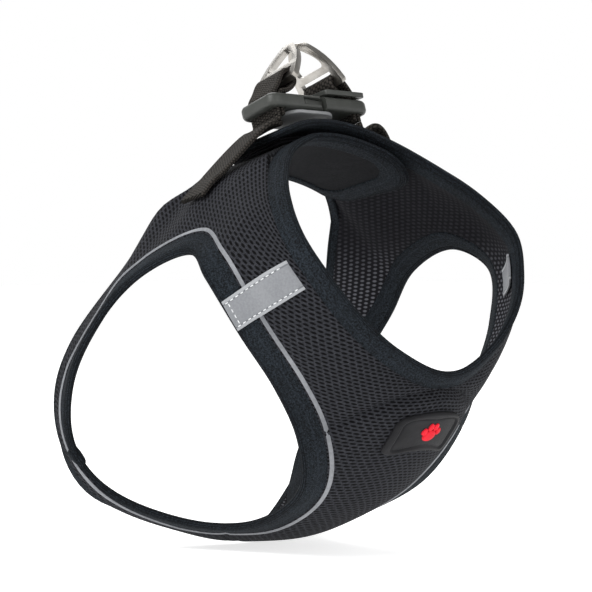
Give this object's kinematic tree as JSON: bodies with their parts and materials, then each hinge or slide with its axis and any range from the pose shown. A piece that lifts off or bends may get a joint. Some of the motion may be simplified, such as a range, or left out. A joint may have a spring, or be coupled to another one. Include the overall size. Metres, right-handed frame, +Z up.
{
  "type": "small-dog step-in harness vest",
  "caption": "Step-in mesh harness vest for a small dog, with overlapping back flaps, side-release buckle and leash rings on webbing straps.",
  "frame": {"origin": "lowest point of the chest panel on the centre plane, under the two leash rings, where the dog's chest sits", "axes": "+Z up, the dog's nose towards -Y, the dog's left side towards +X"},
  "size_m": [0.1582, 0.1372, 0.1882],
  "materials": {
    "air_mesh": "black three-layer air mesh with small open holes",
    "lining": "black knitted lining behind the mesh",
    "knit_band": "blue-black knitted band with fine ribs along the edge",
    "reflective_piping": "satin grey reflective piping",
    "reflective_tape": "matte silver-grey reflective tape",
    "webbing": "warm black woven webbing",
    "hook_and_loop": "black hook-and-loop tape",
    "badge_rubber": "matte dark grey moulded rubber",
    "mark_rubber": "raised red rubber",
    "buckle_plastic": "satin grey-black acetal",
    "cast_ring_metal": "satin cast zinc alloy, bright rim"
  },
  "bodies": {
    "vest": {"mesh_panel_right": "air_mesh", "lining_right": "lining", "leg_band_right": "knit_band", "leg_piping_right": "reflective_piping", "neck_band_right": "knit_band", "rear_binding_right": "knit_band", "reflective_tab_right": "reflective_tape", "reflective_tape_inside_right": "reflective_tape", "leg_band_join_right": "knit_band", "strap_lower_right": "webbing", "strap_loop_right": "webbing", "mesh_panel_left": "air_mesh", "lining_left": "lining", "leg_band_left": "knit_band", "leg_piping_left": "reflective_piping", "neck_band_left": "knit_band", "rear_binding_left": "knit_band", "reflective_tab_left": "reflective_tape", "reflective_tape_inside_left": "reflective_tape", "leg_band_join_left": "knit_band", "strap_lower_left": "webbing", "flap_outer_panel": "air_mesh", "flap_outer_band": "knit_band", "flap_inner_panel": "lining", "flap_inner_band": "knit_band", "loop_strip": "hook_and_loop", "hook_strip": "hook_and_loop", "chest_badge": "badge_rubber", "badge_mark": "mark_rubber", "buckle_socket": "buckle_plastic", "buckle_thumb_plate": "buckle_plastic"},
    "plug": {"buckle_plug": "buckle_plastic", "strap_slider": "buckle_plastic", "strap_loop_left": "webbing"},
    "prong_rear": {"buckle_prong_rear": "buckle_plastic"},
    "prong_front": {"buckle_prong_front": "buckle_plastic"},
    "ring_right": {"ring_right": "cast_ring_metal"},
    "ring_left": {"ring_left": "cast_ring_metal"}
  },
  "joints": [
    {"name": "buckle_release", "type": "slide", "parent": "vest", "child": "plug", "axis": [0.9986, -0.0185, -0.0489], "range_m": [0, 0.022]},
    {"name": "prong_front_squeeze", "type": "hinge", "parent": "plug", "child": "prong_front", "pos_m": [0.00276, -0.00635, 0.16358], "axis": [0.0523, 0.3534, 0.934], "range_deg": [-8, 0], "stiffness_Nm_per_rad": 0.05},
    {"name": "prong_rear_squeeze", "type": "hinge", "parent": "plug", "child": "prong_rear", "pos_m": [0.00276, 0.00506, 0.15926], "axis": [0.0523, 0.3534, 0.934], "range_deg": [0, 8], "stiffness_Nm_per_rad": 0.05},
    {"name": "ring_right_swing", "type": "hinge", "parent": "vest", "child": "ring_right", "pos_m": [-0.01051, 0.00307, 0.17124], "axis": [0, 0.9353, -0.3539], "range_deg": [-100, 0]},
    {"name": "ring_left_swing", "type": "hinge", "parent": "plug", "child": "ring_left", "pos_m": [0.01406, 0.00262, 0.17003], "axis": [0, 0.9353, -0.3539], "range_deg": [0, 100]}
  ],
  "couplings": [
    {"joint": "prong_rear_squeeze", "follows": "prong_front_squeeze", "ratio": -1}
  ]
}
